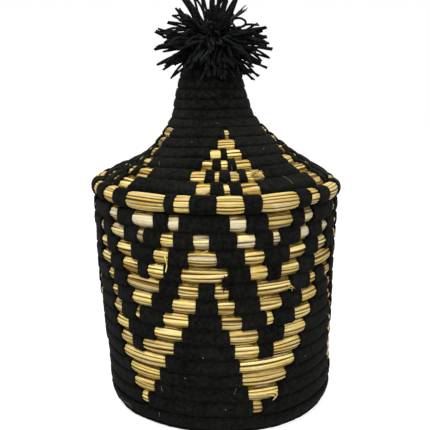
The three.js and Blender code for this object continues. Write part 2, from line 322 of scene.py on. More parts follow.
def vectors(tree, operation, *values):
    inputs = dict(enumerate(values))
    return put(tree, "ShaderNodeVectorMath", inputs, operation=operation).outputs


def scaled(tree, vector, amount):
    inputs = {0: vector, "Scale": amount}
    return put(tree, "ShaderNodeVectorMath", inputs, operation="SCALE").outputs[0]


def noise(tree, vector, scale, detail=2.0, roughness=0.5):
    inputs = {"Vector": vector, "Scale": scale, "Detail": detail, "Roughness": roughness}
    return put(tree, "ShaderNodeTexNoise", inputs).outputs[0]


def ranged(tree, value, low, high, to_low=0.0, to_high=1.0):
    inputs = {0: value, 1: low, 2: high, 3: to_low, 4: to_high}
    return put(tree, "ShaderNodeMapRange", inputs).outputs[0]


def compared(tree, value, operation, limit):
    inputs = {0: value, 1: limit}
    return put(tree, "FunctionNodeCompare", inputs, data_type="FLOAT", operation=operation)


def fact(tree, name, kind="FLOAT"):
    return put(tree, "GeometryNodeInputNamedAttribute", {"Name": name}, data_type=kind).outputs[0]


def vector_fact(tree, name):
    return fact(tree, name, "FLOAT_VECTOR")


def keep(tree, geometry, name, value, kind="FLOAT"):
    """Stores a value on each point under a name, for later nodes and the material."""
    inputs = {"Geometry": geometry, "Name": name, "Value": value}
    return put(tree, "GeometryNodeStoreNamedAttribute", inputs, data_type=kind, domain="POINT")


def chance(tree, low, high, identity, seed):
    inputs = {2: low, 3: high, "ID": identity, "Seed": seed}
    return put(tree, "FunctionNodeRandomValue", inputs, data_type="FLOAT").outputs[1]


def moved(tree, geometry, **to):
    return put(tree, "GeometryNodeSetPosition", {"Geometry": geometry, **to})


def across_rope(tree, onward, outward):
    """A direction across the rope, by its shares towards the next round and outwards."""
    towards_next = scaled(tree, vector_fact(tree, "onward"), onward)
    away = scaled(tree, vector_fact(tree, "outward"), outward)
    return vectors(tree, "ADD", towards_next, away)[0]


def geometry_tree(name, sizes):
    """An empty tree with named inputs, its inputs' sockets and its output node."""
    tree = bpy.data.node_groups.new(name, "GeometryNodeTree")
    tree.is_modifier = True
    tree.interface.new_socket("Geometry", in_out="INPUT", socket_type="NodeSocketGeometry")
    tree.interface.new_socket("Geometry", in_out="OUTPUT", socket_type="NodeSocketGeometry")
    for label, kind in sizes.items():
        tree.interface.new_socket(label, in_out="INPUT", socket_type="NodeSocket" + kind)
    return tree, tree.nodes.new("NodeGroupInput").outputs, tree.nodes.new("NodeGroupOutput")


def measured(tree, curve):
    """Keeps where each point of a rope's middle line lies, and how far along."""
    place = put(tree, "GeometryNodeInputPosition")
    length = put(tree, "GeometryNodeSplineParameter").outputs["Length"]
    return keep(tree, keep(tree, curve, "middle", place, "FLOAT_VECTOR"), "along", length)


def swept(tree, curve, sides, **more):
    """A round section swept along curves. Its points carry their angle round the section."""
    circle = put(tree, "GeometryNodeCurvePrimitiveCircle", {"Resolution": sides, "Radius": 1.0})
    turn = times(tree, over(tree, put(tree, "GeometryNodeInputIndex"), sides), 2 * math.pi)
    ring = keep(tree, circle, "around", turn)
    inputs = {"Curve": curve, "Profile Curve": ring, "Fill Caps": True, **more}
    return put(tree, "GeometryNodeCurveToMesh", inputs)


def above_floor(tree, geometry):
    """Presses flat on the floor what would reach below it."""
    at = put(tree, "ShaderNodeSeparateXYZ", {0: put(tree, "GeometryNodeInputPosition")}).outputs
    height = maths(tree, "MAXIMUM", at["Z"], 0.0)
    pressed = put(tree, "ShaderNodeCombineXYZ", {"X": at["X"], "Y": at["Y"], "Z": height})
    return moved(tree, geometry, Position=pressed)


def end_tree(tree, result, geometry, material, inside=None, shown=None):
    """Smooth, real geometry in its material, and in the one of the inside where that shows."""
    smooth = put(tree, "GeometryNodeSetShadeSmooth", {"Geometry": geometry})
    real = put(tree, "GeometryNodeRealizeInstances", {"Geometry": smooth})
    done = put(tree, "GeometryNodeSetMaterial", {"Geometry": real, "Material": material})
    if inside is not None:
        done = put(tree, "GeometryNodeSetMaterial", {
            "Geometry": done, "Selection": shown, "Material": inside,
        })
    connect(tree, result, {"Geometry": done})


# Half the thickness that the rope's thin end keeps
THINNEST_END = 0.0006


def make_rope_tree():
    """A bound rope: a section swept along its way, sunk where the straw lies bare."""
    tree, given, result = geometry_tree("bound rope", {
        "Sides": "Int", "Squareness": "Float", "Spread": "Float", "Sink": "Float",
        "Slim": "Float", "Lumps": "Float", "Stray": "Float", "Wool": "Material",
        "Core": "Material",
    })
    curve = put(tree, "GeometryNodeMeshToCurve", {"Mesh": given["Geometry"]})
    plain = swept(tree, measured(tree, curve), given["Sides"])
    around = fact(tree, "around")
    cosine, sine = maths(tree, "COSINE", around), maths(tree, "SINE", around)
    power = given["Squareness"]
    corner = plus(tree, maths(tree, "POWER", maths(tree, "ABSOLUTE", cosine), power),
                  maths(tree, "POWER", maths(tree, "ABSOLUTE", sine), power))
    stretch = maths(tree, "POWER", corner, over(tree, -1.0, power))
    shown = over(tree, fact(tree, "bare"), fact(tree, "thick"))
    tall = minus(tree, given["Spread"], times(tree, given["Slim"], shown))
    deep = minus(tree, 1.0, times(tree, given["Sink"], shown))
    direction = across_rope(tree, times(tree, cosine, tall), times(tree, sine, deep))
    centre = vector_fact(tree, "middle")
    half = times(tree, maths(tree, "MAXIMUM", fact(tree, "thick"), THINNEST_END), stretch)
    outside = vectors(tree, "ADD", centre, scaled(tree, direction, half))[0]
    lump = plus(tree, minus(tree, noise(tree, outside, 95.0), 0.5),
                times(tree, minus(tree, noise(tree, outside, 330.0, 1.0), 0.5), 0.6))
    grown = plus(tree, half, times(tree, lump, given["Lumps"]))
    ahead = vectors(
        tree, "CROSS_PRODUCT", vector_fact(tree, "outward"), vector_fact(tree, "onward"),
    )[0]
    astray = times(tree, minus(tree, noise(tree, outside, 70.0, 3.0), 0.5), given["Stray"])
    surface = vectors(tree, "ADD", centre, scaled(tree, direction, grown))[0]
    strayed = vectors(tree, "ADD", surface, scaled(tree, ahead, astray))[0]
    shaped = above_floor(tree, moved(tree, plain, Position=strayed))
    # How near each point lies to the joint with the next round, kept for the wool's painted shade
    # in the grooves
    side = times(tree, maths(tree, "ABSOLUTE", cosine), stretch)
    bare = compared(tree, fact(tree, "bare"), "GREATER_THAN", 0.7)
    end_tree(tree, result, keep(tree, shaped, "joint", side), given["Wool"], given["Core"], bare)
    return tree


def make_straw_tree():
    """Straw stalks laid round the rope's core along each bare stretch."""
    tree, given, result = geometry_tree("straw stalks", {
        "Stalks": "Int", "Stalk": "Float", "Wide": "Float", "Drift": "Float", "Seed": "Int",
        "Straw": "Material",
    })
    curve = put(tree, "GeometryNodeMeshToCurve", {"Mesh": given["Geometry"]})
    copies = put(tree, "GeometryNodeDuplicateElements",
                 {"Geometry": curve, "Amount": given["Stalks"]}, domain="SPLINE")
    stalk = put(tree, "GeometryNodeCurveOfPoint")

    def draw(number, low, high):
        return chance(tree, low, high, stalk, plus(tree, given["Seed"], number))

    tint, slanted, proud = draw(0, 0.0, 1.0), draw(2, -1.0, 1.0), draw(2, -0.0004, 0.0002)
    tinted = keep(tree, copies, "tint", tint)
    marked = keep(tree, tinted, "stalk", copies.outputs["Duplicate Index"])
    factor = put(tree, "GeometryNodeSplineParameter").outputs["Factor"]
    start = plus(tree, fact(tree, "stalk"), draw(1, -0.32, 0.32))
    slant = times(tree, slanted, minus(tree, factor, 0.5))
    lane = plus(tree, start, times(tree, slant, given["Drift"]))
    angle = times(tree, lane, over(tree, 2 * math.pi, given["Stalks"]))
    chosen = maths(tree, "GREATER_THAN", fact(tree, "pale"), tint)
    whitened = keep(tree, measured(tree, marked), "pale", chosen)
    share = put(tree, "ShaderNodeMix", {
        "Factor": fact(tree, "pale"), 2: given["Stalk"], 3: given["Wide"],
    })
    half = times(tree, times(tree, share, fact(tree, "thick")), draw(3, 0.62, 1.38))
    reach = plus(tree, minus(tree, fact(tree, "thick"), half), proud)
    direction = across_rope(tree, maths(tree, "COSINE", angle), maths(tree, "SINE", angle))
    laid = moved(tree, keep(tree, whitened, "half", half), Offset=scaled(tree, direction, reach))
    stalks = swept(tree, laid, 7, Scale=fact(tree, "half"))
    # How far out from the rope's middle each point lies, kept as its depth for the painted shade
    # between the stalks
    place = put(tree, "GeometryNodeInputPosition")
    out = vectors(tree, "SUBTRACT", place, vector_fact(tree, "middle"))[0]
    far = vectors(tree, "LENGTH", out)["Value"]
    deep = keep(tree, stalks, "depth", over(tree, far, fact(tree, "thick")))
    onward = vector_fact(tree, "onward")
    tall = vectors(tree, "DOT_PRODUCT", out, onward)["Value"]
    lower = times(tree, tall, minus(tree, fact(tree, "press"), 1.0))
    pressed = above_floor(tree, moved(tree, deep, Offset=scaled(tree, onward, lower)))
    end_tree(tree, result, pressed, given["Straw"])
    return tree


def make_fuzz_tree():
    """Short wool hairs standing off the bound parts of a rope."""
    tree, given, result = geometry_tree("wool fuzz", {
        "Density": "Float", "Length": "Float", "Hair": "Float", "Lowest": "Float",
        "Seed": "Int", "Wool": "Material",
    })
    spread = put(tree, "GeometryNodeDistributePointsOnFaces", {
        "Mesh": given["Geometry"], "Density": given["Density"], "Seed": given["Seed"],
        "Selection": compared(tree, fact(tree, "bare"), "LESS_THAN", 0.2),
    })
    hair = put(tree, "GeometryNodeMeshCone", {
        "Vertices": 3, "Side Segments": 3, "Radius Top": 0.25, "Radius Bottom": 1.0, "Depth": 1.0,
    })
    # Read on the cone, Z is a place along the hair, and on the points it is their height
    at = put(tree, "ShaderNodeSeparateXYZ", {0: put(tree, "GeometryNodeInputPosition")}).outputs
    bend = times(tree, times(tree, at["Z"], at["Z"]), 0.7)
    bent = put(tree, "ShaderNodeCombineXYZ", {
        "X": plus(tree, times(tree, at["X"], given["Hair"]), bend),
        "Y": times(tree, at["Y"], given["Hair"]), "Z": at["Z"],
    })
    index = put(tree, "GeometryNodeInputIndex")
    tilt = put(tree, "FunctionNodeRandomValue",
               {0: (-1.1, -1.1, 0.0), 1: (1.1, 1.1, 6.28), "ID": index, "Seed": given["Seed"]},
               data_type="FLOAT_VECTOR")
    turned = put(tree, "FunctionNodeRotateRotation", {
        "Rotation": spread.outputs["Rotation"],
        "Rotate By": put(tree, "FunctionNodeEulerToRotation", {0: tilt}),
    }, rotation_space="LOCAL")
    few_long = maths(tree, "POWER", chance(tree, 0.0, 1.0, index, given["Seed"]), 5.0)
    long = times(tree, plus(tree, times(tree, few_long, 1.6), 0.35), given["Length"])
    hairs = put(tree, "GeometryNodeInstanceOnPoints", {
        "Points": spread.outputs["Points"], "Instance": moved(tree, hair, Position=bent),
        "Selection": compared(tree, at["Z"], "GREATER_THAN", given["Lowest"]),
        "Rotation": turned, "Scale": long,
    })
    end_tree(tree, result, hairs, given["Wool"])
    return tree


def make_strand_tree():
    """Single strands swept along their ways, a little thinner at their cut ends."""
    tree, given, result = geometry_tree("single strands", {"Sides": "Int", "Finish": "Material"})
    curve = put(tree, "GeometryNodeMeshToCurve", {"Mesh": given["Geometry"]})
    along = put(tree, "GeometryNodeSplineParameter").outputs
    strand = put(tree, "GeometryNodeCurveOfPoint")
    tinted = keep(tree, keep(tree, curve, "along", along["Length"]), "tint",
                  chance(tree, 0.0, 1.0, strand, 4))
    cut = ranged(tree, along["Factor"], 0.90, 1.0, 1.0, 0.72)
    strands = swept(tree, tinted, given["Sides"], Scale=times(tree, fact(tree, "half"), cut))
    end_tree(tree, result, strands, given["Finish"])
    return tree


def placed(name, data):
    made = bpy.data.objects.new(name, data)
    bpy.context.scene.collection.objects.link(made)
    return made


def grow(name, form, tree, body, finish, **sizes):
    """Runs a tree on ways, or on a mesh, and keeps the result as a plain piece that rides on
    a body."""
    piece = placed(name, path_mesh(name, form) if isinstance(form, list) else form)
    modifier = piece.modifiers.new("form", "NODES")
    modifier.node_group = tree
    for item in tree.interface.items_tree:
        if item.name in sizes and item.in_out == "INPUT":
            modifier[item.identifier] = sizes[item.name]
    bpy.context.view_layer.update()
    grown = piece.evaluated_get(bpy.context.evaluated_depsgraph_get())
    plain = bpy.data.meshes.new_from_object(grown)
    piece.modifiers.clear()
    piece.data = plain
    plain.name = name
    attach(piece, body)
    return piece


def shader_group(name, inputs, outputs):
    """An empty group with named inputs and outputs, its inputs' sockets and its output node."""
    group = bpy.data.node_groups.new(name, "ShaderNodeTree")
    for label, kind in inputs.items():
        group.interface.new_socket(label, in_out="INPUT", socket_type="NodeSocket" + kind)
    for label, kind in outputs.items():
        group.interface.new_socket(label, in_out="OUTPUT", socket_type="NodeSocket" + kind)
    return group, group.nodes.new("NodeGroupInput").outputs, group.nodes.new("NodeGroupOutput")


def mixed(tree, factor, first, second):
    inputs = {"Factor": factor, 6: first, 7: second}
    return put(tree, "ShaderNodeMix", inputs, data_type="RGBA").outputs[2]


def make_felt():
    """Felted wool: matted fibres, soft changes of shade and a few flecks of pale lint."""
    group, given, result = shader_group(
        "felted wool",
        {"Vector": "Vector", "Dark": "Color", "Light": "Color", "Lint": "Float"},
        {"Color": "Color", "Height": "Float"},
    )
    place = given["Vector"]
    fibres = noise(group, place, 1500.0, 4.0, 0.7)
    clumps = noise(group, place, 260.0, 3.0, 0.6)
    broad = noise(group, place, 28.0)
    light = plus(group, times(group, fibres, 0.25),
                 plus(group, times(group, clumps, 0.5), times(group, broad, 0.25)))
    shade = mixed(group, ranged(group, light, 0.41, 0.61), given["Dark"], given["Light"])
    cells = put(group, "ShaderNodeTexVoronoi", {"Vector": place, "Scale": 105.0, "Randomness": 1.0})
    pick = put(group, "ShaderNodeSeparateColor", {0: cells.outputs["Color"]})
    near = ranged(group, cells.outputs["Distance"], 0.09, 0.03)
    chosen = maths(group, "GREATER_THAN", pick, minus(group, 1.0, given["Lint"]))
    lint = times(group, near, chosen)
    height = plus(group, times(group, fibres, 0.35), plus(group, times(group, clumps, 0.65), lint))
    connect(group, result, {
        "Color": mixed(group, lint, shade, (0.45, 0.42, 0.36, 1)), "Height": height,
    })
    return group


felt = make_felt()


def bump(tree, height, strength, distance):
    inputs = {"Height": height, "Strength": strength, "Distance": distance}
    return put(tree, "ShaderNodeBump", inputs)


def new_material(name, viewed):
    material = bpy.data.materials.new(name)
    material.use_nodes = True
    material.diffuse_color = (*viewed, 1)
    tree = material.node_tree
    return material, tree, tree.nodes["Principled BSDF"]


def attribute(tree, name):
    return put(tree, "ShaderNodeAttribute", attribute_name=name).outputs["Fac"]


def felted(tree, dark, light, lint):
    return put(tree, "ShaderNodeGroup", {
        "Vector": put(tree, "ShaderNodeTexCoord").outputs["Object"],
        "Dark": (*dark, 1), "Light": (*light, 1), "Lint": lint,
    }, node_tree=felt).outputs


def waves(tree, apart):
    """An angle that grows by a full turn over a distance along the rope or the yarn."""
    return times(tree, attribute(tree, "along"), 2 * math.pi / apart)


def matte(tree, surface, colour, relief, gloss):
    """The rough surface that wool has, with next to no sheen."""
    connect(tree, surface, {
        "Base Color": colour, "Normal": relief, "Specular IOR Level": gloss,
        "Roughness": 0.95, "Sheen Weight": 0.02, "Sheen Roughness": 0.6,
    })


def wool_binding():
    """Black wool wound across the rope and felted, so its turns hardly show. Its colour is
    painted darker towards the joints between the rounds, as shade in the grooves."""
    material, tree, surface = new_material("black_wool", (0.02, 0.02, 0.02))
    wool = felted(tree, dark=(0.0009, 0.0009, 0.0007), light=(0.0104, 0.0104, 0.0081), lint=0.012)
    loose = noise(tree, put(tree, "ShaderNodeTexCoord").outputs["Object"], 160.0)
    turns = plus(tree, waves(tree, 0.0023), times(tree, loose, 9.0))
    height = plus(tree, wool["Height"], times(tree, maths(tree, "SINE", turns), 0.07))
    # Painted shade: the wool turns near black towards the joints between the rounds, where the
    # grooves lie in shade
    joint = plus(tree, attribute(tree, "joint"), times(tree, minus(tree, loose, 0.5), 0.7))
    colour = mixed(tree, ranged(tree, joint, 0.30, 1.15, 0.0, 0.75), wool["Color"],
                   (0.0005, 0.0005, 0.0004, 1))
    matte(tree, surface, colour, bump(tree, height, 0.75, 0.0009), gloss=0.03)
    return material


def make_grain():
    """Straw's grain: fine lines along the stalk, with blotches and red-brown marks. Where a
    stalk lies deep in the bundle it is painted dark brown as shade.
    """
    group, given, result = shader_group(
        "straw grain",
        {"Along": "Float", "Around": "Float", "Tint": "Float", "Pale": "Float", "Depth": "Float"},
        {"Color": "Color", "Height": "Float", "Roughness": "Float"},
    )
    tint, around = given["Tint"], given["Around"]
    place = put(group, "ShaderNodeCombineXYZ", {
        "X": plus(group, times(group, given["Along"], 55.0), times(group, tint, 400.0)),
        "Y": times(group, maths(group, "COSINE", around), 1.7),
        "Z": times(group, maths(group, "SINE", around), 1.7),
    })
    lines = noise(group, place, 3.2, 4.0, 0.65)
    speck = noise(group, place, 14.0, 2.0, 0.7)
    stalk = put(group, "ShaderNodeValToRGB", {0: tint})
    shades = stalk.color_ramp.elements
    shades[0].color = (0.46, 0.285, 0.045, 1)
    shades[1].color = (0.92, 0.74, 0.25, 1)
    shades.new(0.28).color = (0.64, 0.425, 0.065, 1)
    shades.new(0.68).color = (0.80, 0.600, 0.115, 1)
    worn = mixed(group, ranged(group, noise(group, place, 0.9), 0.46, 0.74), stalk.outputs[0],
                 (0.96, 0.88, 0.60, 1))
    dark = mixed(group, ranged(group, lines, 0.47, 0.30), worn, (0.22, 0.11, 0.02, 1))
    stain = ranged(group, noise(group, place, 1.35, 3.0, 0.7), 0.655, 0.72)
    marked = mixed(group, times(group, stain, 0.75), dark, (0.22, 0.075, 0.025, 1))
    chalk = mixed(group, ranged(group, speck, 0.40, 0.58), (0.42, 0.33, 0.18, 1),
                  (0.86, 0.79, 0.56, 1))
    chalk = mixed(group, ranged(group, lines, 0.42, 0.28), chalk, (0.34, 0.25, 0.12, 1))
    final = mixed(group, times(group, given["Pale"], 0.9), marked, chalk)
    # Painted shade: stalks that lie deep between the others turn dark brown
    connect(group, result, {
        "Color": mixed(group, ranged(group, given["Depth"], 0.955, 0.90), final,
                       (0.15, 0.082, 0.018, 1)),
        "Height": plus(group, lines, times(group, speck, 0.25)),
        "Roughness": ranged(group, lines, 0.3, 0.7, 0.62, 0.38),
    })
    return group


grain = make_grain()


def bare_straw():
    """Round golden stalks with a low sheen."""
    material, tree, surface = new_material("golden_straw", (0.72, 0.54, 0.24))
    labels = ("Along", "Around", "Tint", "Pale", "Depth")
    stalk = put(tree, "ShaderNodeGroup", {
        label: attribute(tree, label.lower()) for label in labels
    }, node_tree=grain).outputs
    connect(tree, surface, {
        "Base Color": stalk["Color"], "Roughness": stalk["Roughness"],
        "Normal": bump(tree, stalk["Height"], 0.55, 0.0005), "Specular IOR Level": 0.20,
    })
    return material


def straw_core():
    """The bundle's inside: straw, painted darker than the stalks to stand for the shade
    between them. It shows as thin brown lines between the stalks and beside them.
    """
    material, tree, surface = new_material("straw_core", (0.20, 0.12, 0.03))
    place = put(tree, "ShaderNodeTexCoord").outputs["Object"]
    streaks = vectors(tree, "MULTIPLY", place, (0.2, 0.2, 1.0))[0]
    # Painted shade: the core is kept darker than the stalks
    connect(tree, surface, {
        "Base Color": mixed(tree, ranged(tree, noise(tree, streaks, 900.0, 3.0), 0.35, 0.65),
                            (0.045, 0.027, 0.006, 1), (0.34, 0.22, 0.05, 1)),
        "Roughness": 0.9, "Specular IOR Level": 0.05,
    })
    return material


black_wool = wool_binding()
golden_straw = bare_straw()
core_straw = straw_core()
rope_tree = make_rope_tree()
straw_tree = make_straw_tree()
fuzz_tree = make_fuzz_tree()
strand_tree = make_strand_tree()

# How far the ends of the wool's turns stray along the rope, how thick a hair of its fuzz is to its
# length, and the lowest place that has any, so that none reaches the floor
STRAY_WOOL = 0.0044
HAIR_THICK = 0.03
FUZZ_FROM = 0.0055


def grow_rope(name, ways, body, finish, **sizes):
    """A rope with the wool round it."""
    return grow(name, ways, rope_tree, body, finish, Stray=STRAY_WOOL, Wool=black_wool,
                Core=core_straw, **sizes)


def grow_straw(name, ways, body, **sizes):
    """The stalks of a rope's bare stretches."""
    return grow(name, ways, straw_tree, body, "straw", Straw=golden_straw, **sizes)


def grow_fuzz(name, piece, body, finish, wool, **sizes):
    """Fuzz on the wool of a piece that is made already."""
    return grow(name, piece.data.copy(), fuzz_tree, body, finish, Hair=HAIR_THICK,
                Lowest=FUZZ_FROM, Wool=wool, **sizes)


# The share of whitish stalks, and how tall the bundle of bare straw is pressed, each by round
PALE_ROUNDS = ([1, 2, 3, 4, 6], [0.84, 0.80, 0.1, -0.05, -0.1])
PRESSED_ROUNDS = ([1, 3, 6, 10], [0.91, 0.93, 0.97, 1.02])

body_bare = bare_turns([all_round(row) for row in BODY_PATTERN])
body_rope = grow_rope(
    "body_rope", [bound_way(body_way, THIN_END, BODY_TURNS, spacing=0.0036, bare=body_bare)],
    "basket", "wool_bound_rope",
    Sides=18, Squareness=4.6, Spread=1.09, Sink=0.0043, Slim=0.0008, Lumps=0.0015,
)
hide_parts("body_coil")
grow_straw(
    "body_straw",
    bare_ways(body_way, body_bare, 0.0045, TUCK, PALE_ROUNDS, PRESSED_ROUNDS), "basket",
    Stalks=11, Stalk=0.30, Wide=0.42, Drift=0.45, Seed=3,
)
grow_fuzz("body_fuzz", body_rope, "basket", "wool", black_wool,
          Density=22000.0, Length=0.0028, Seed=11)

# Loose ends on the body: stalks that have come out from under the wool, a tuft of wool pulled out
# between two rounds, and pale hairs and flecks caught in it, where the photograph shows them.

# Points along each: round, angle, shift from the round's middle towards the next one, and
# distance off its surface
LOOSE_STALKS = [
    [(3, -22.4, -0.001, -0.0004), (3, -21.5, 0.001, 0.0008), (4, -21.5, -0.0078, 0.0012),
     (4, -21.7, -0.0025, 0.0012)],
    [(3, -12, -0.0045, -0.0008), (3, -7, -0.0060, 0.0004), (3, -3.4, -0.0088, 0.0014)],
    [(12, 22, -0.001, -0.0004), (12, 25, -0.001, 0.0010), (12, 27, 0.001, 0.0010),
     (12, 26.6, 0.006, 0.0012)],
    [(12, 23, 0.001, -0.0004), (12, 25, 0.002, 0.0010), (12, 26, 0.004, 0.0012),
     (12, 25.2, 0.0075, 0.0016)],
]
FRAYED_ENDS = [
    [(5, 33, -0.001, -0.0004), (5, 34.4, 0.000, 0.0008), (5, 35.3, 0.0030, 0.0012)],
    [(5, 33, 0.001, -0.0004), (5, 34.8, 0.001, 0.0008), (5, 36.3, 0.0034, 0.0014)],
    [(5, 33, 0.002, -0.0004), (5, 34.6, 0.003, 0.0010), (5, 35.6, 0.0062, 0.0014)],
]
BODY_HAIRS = [
    [(11, 9.5, 0.0019, 0.0004), (11, 7.8, 0.0060, 0.0008), (12, 6.5, -0.0025, 0.0006)],
    [(12, -28.2, -0.0042, 0.0004), (12, -27.8, -0.0018, 0.0010), (12, -27.2, 0.0006, 0.0006)],
    [(14, -30.8, -0.0054, 0.0004), (14, -30.5, -0.0030, 0.0008), (14, -30.9, -0.0012, 0.0004)],
    [(14, -59.5, -0.0035, 0.0006), (14, -55, -0.0015, 0.0010), (14, -51.5, -0.0018, 0.0010),
     (14, -50.5, 0.0030, 0.0006)],
]
# Round, angle and shift of each fleck, and of the tuft's middle
BODY_FLECKS = [
    (9, -6.5, 0.0037), (11, -15.5, -0.0025), (13, 2.5, -0.0019), (14, 11, -0.0063),
    (10, 44, 0.001), (8, -70, 0.002), (5, 130, 0), (9, 175, 0.002), (12, 220, -0.002),
]
WOOL_TUFT = (4, 4.2, 0.0050)
TUFT_FIBRES = 70
# How far the roots and the ends of the tuft's fibres scatter, in degrees and across the rope
ROOTS_SCATTER = (0.8, 0.0016)
ENDS_SCATTER = (1.2, 0.0034)
# Half the thickness of a loose stalk, a fibre of the tuft, a hair and a fleck
STALK_HALF = 0.0006
TUFT_HALF = 0.0006
HAIR_HALF = 0.0001
FLECK_HALF = 0.00034


def on_rope(way_at, number, angle, shift, off):
    """A point by the surface of a rope's round, at an angle from the front."""
    way = way_at([number - 1 + (angle + 90) / 360])
    onward, outward, thick = way["onward"][0], way["outward"][0], way["thick"][0]
    if onward[2] > 0:
        outward = -outward
    side = min(abs(shift) / thick, 1)
    full = max(0.75, (1 - side ** 3) ** (1 / 3))
    return way["centre"][0] + onward * shift + outward * (thick * full + off)


def along_rope(way_at, points, half, **more):
    return strand_way([on_rope(way_at, *point) for point in points], half, **more)


def fleck_way(way_at, number, angle, shift):
    """A speck of lint, less than a millimetre across."""
    ends = [(number, angle + turn, shift, 0.0003) for turn in (-0.22, 0, 0.22)]
    return along_rope(way_at, ends, FLECK_HALF, count=5)


def lint_ways(way_at, hairs, flecks):
    return ([along_rope(way_at, hair, HAIR_HALF) for hair in hairs]
            + [fleck_way(way_at, *fleck) for fleck in flecks])


def tuft_ways(way_at, number, angle, shift):
    """Wool pulled out of the binding, matted over the ends of two bare stretches."""
    dice = random.Random(3)
    ways = []

    def near(scatter, reach):
        turn, across = dice.gauss(0, scatter[0]), dice.gauss(0, scatter[1])
        return number, angle + turn * reach, shift + across * reach

    for fibre in range(TUFT_FIBRES):
        points = [(*near(ROOTS_SCATTER, 1), -0.0002)]
        for reach in (0.5, 1.0):
            points.append((*near(ENDS_SCATTER, reach), dice.uniform(0.0004, 0.0012)))
        ways.append(along_rope(way_at, points, TUFT_HALF, count=7))
    return ways


def pale_lint():
    material, tree, surface = new_material("pale_lint", (0.5, 0.47, 0.4))
    connect(tree, surface, {"Base Color": (0.24, 0.23, 0.20, 1), "Roughness": 0.9})
    return material


grow(
    "loose_stalks",
    [along_rope(body_way, stalk, STALK_HALF, depth=0.96) for stalk in LOOSE_STALKS]
    + [along_rope(body_way, end, STALK_HALF / 2) for end in FRAYED_ENDS],
    strand_tree, "basket", "straw", Sides=6, Finish=golden_straw,
)
grow("wool_tuft", tuft_ways(body_way, *WOOL_TUFT), strand_tree, "basket", "wool",
     Sides=5, Finish=black_wool)
lint = pale_lint()
grow("body_lint", lint_ways(body_way, BODY_HAIRS, BODY_FLECKS), strand_tree, "basket", "wool",
     Sides=5, Finish=lint)

# The lid's edge: a thicker ring of straw, bound with wool in bands that lie where the model has
# them, with the straw bare between them. It rests on the basket's rim.

edge_low, edge_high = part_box("edge_coil")
EDGE_Z = (edge_low.z + edge_high.z) / 2
EDGE_HALF = 0.0083
EDGE_R = edge_high.x - EDGE_HALF
EDGE_LIFT = 0.0020
# A band's wool lies on the straw but is drawn in near its ends: by how much at which distances,
# and from where on it has its whole thickness
BAND_ENDS = [(0, -0.0022), (0.0004, -0.0009), (0.0013, -0.0001)]
BAND_SHOULDER = 0.0028
BAND_THICK = 0.0003


def edge_way(turns):
    """The ring of the lid's edge, a full turn of which is once round the basket. It lies level
    but for its left side, which stands up a little."""
    angle = 360 * np.asarray(turns, float)
    out, up = wobble(angle, EDGE_Z)
    r = EDGE_R + out
    sine, cosine = np.sin(np.radians(angle)), np.cos(np.radians(angle))
    z = EDGE_Z + 0.5 * up + EDGE_LIFT * np.clip(-sine, 0, 1) ** 4
    level = np.zeros_like(angle)
    return {
        "centre": np.stack([r * sine + lean(EDGE_Z), -r * cosine, z], 1),
        "outward": np.stack([sine, -cosine, level], 1),
        "onward": np.stack([level, level, level - 1], 1),
        "thick": level + EDGE_HALF,
        "radius": r,
    }


def band_turns(node):
    """Where a wool band of the model starts and ends, in turns from the front."""
    places = [v.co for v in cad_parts[node].data.vertices]
    turns = [math.atan2(p.x, -p.y) / (2 * math.pi) for p in places]
    if max(turns) - min(turns) > 0.5:
        turns = [turn % 1 for turn in turns]
    return min(turns), max(turns)


def band_way(start, end):
    """A wool band's way, swelling over the straw and drawn in at its two ends."""
    tight = turn_per_metre(edge_way, start)
    shoulder = BAND_SHOULDER * tight
    inner = max(3, round((end - start) / shoulder))
    near, drawn_in = np.array(BAND_ENDS).T
    turns = np.concatenate([
        start + near * tight,
        np.linspace(start + shoulder, end - shoulder, inner),
        (end - near * tight)[::-1],
    ])
    way = edge_way(turns)
    drawn_in = np.concatenate([drawn_in, np.zeros(inner), drawn_in[::-1]])
    way["thick"] = way["thick"] + BAND_THICK + drawn_in
    way["bare"] = np.zeros(len(turns))
    return way


band_nodes = [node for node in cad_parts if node.startswith("edge_binding")]
edge_bands = sorted(band_turns(node) for node in band_nodes)
edge_seam = edge_bands[0][0]
band_starts = [start for start, end in edge_bands[1:]] + [edge_seam + 1]
edge_bare = [(band[1], start) for band, start in zip(edge_bands, band_starts)]
edge_core_way = edge_way(even_turns(edge_way, edge_seam, edge_seam + 1, spacing=0.006))
edge_core_way["bare"] = np.ones(len(edge_core_way["radius"]))
grow_rope(
    "edge_core", [edge_core_way], "lid", "straw",
    Sides=14, Squareness=2.1, Spread=1.0, Sink=0.0029, Slim=0.0029, Lumps=0.0006,
)
edge_straw = grow_straw(
    "edge_straw", bare_ways(edge_way, edge_bare, 0.005, TUCK), "lid",
    Stalks=16, Stalk=0.22, Wide=0.3, Drift=0.25, Seed=21,
)
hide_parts("edge_coil")
edge_bindings = grow_rope(
    "edge_bindings", [band_way(*band) for band in edge_bands], "lid", "wool",
    Sides=18, Squareness=2.2, Spread=1.0, Sink=0.0, Slim=0.0, Lumps=0.0014,
)
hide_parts(*band_nodes)
grow_fuzz("edge_fuzz", edge_bindings, "lid", "wool", black_wool,
          Density=22000.0, Length=0.0028, Seed=13)

# The lid's rope: the same straw and wool, wound from beside the edge up the cone and the neck,
# thinner as it rises, and closed over the crown.

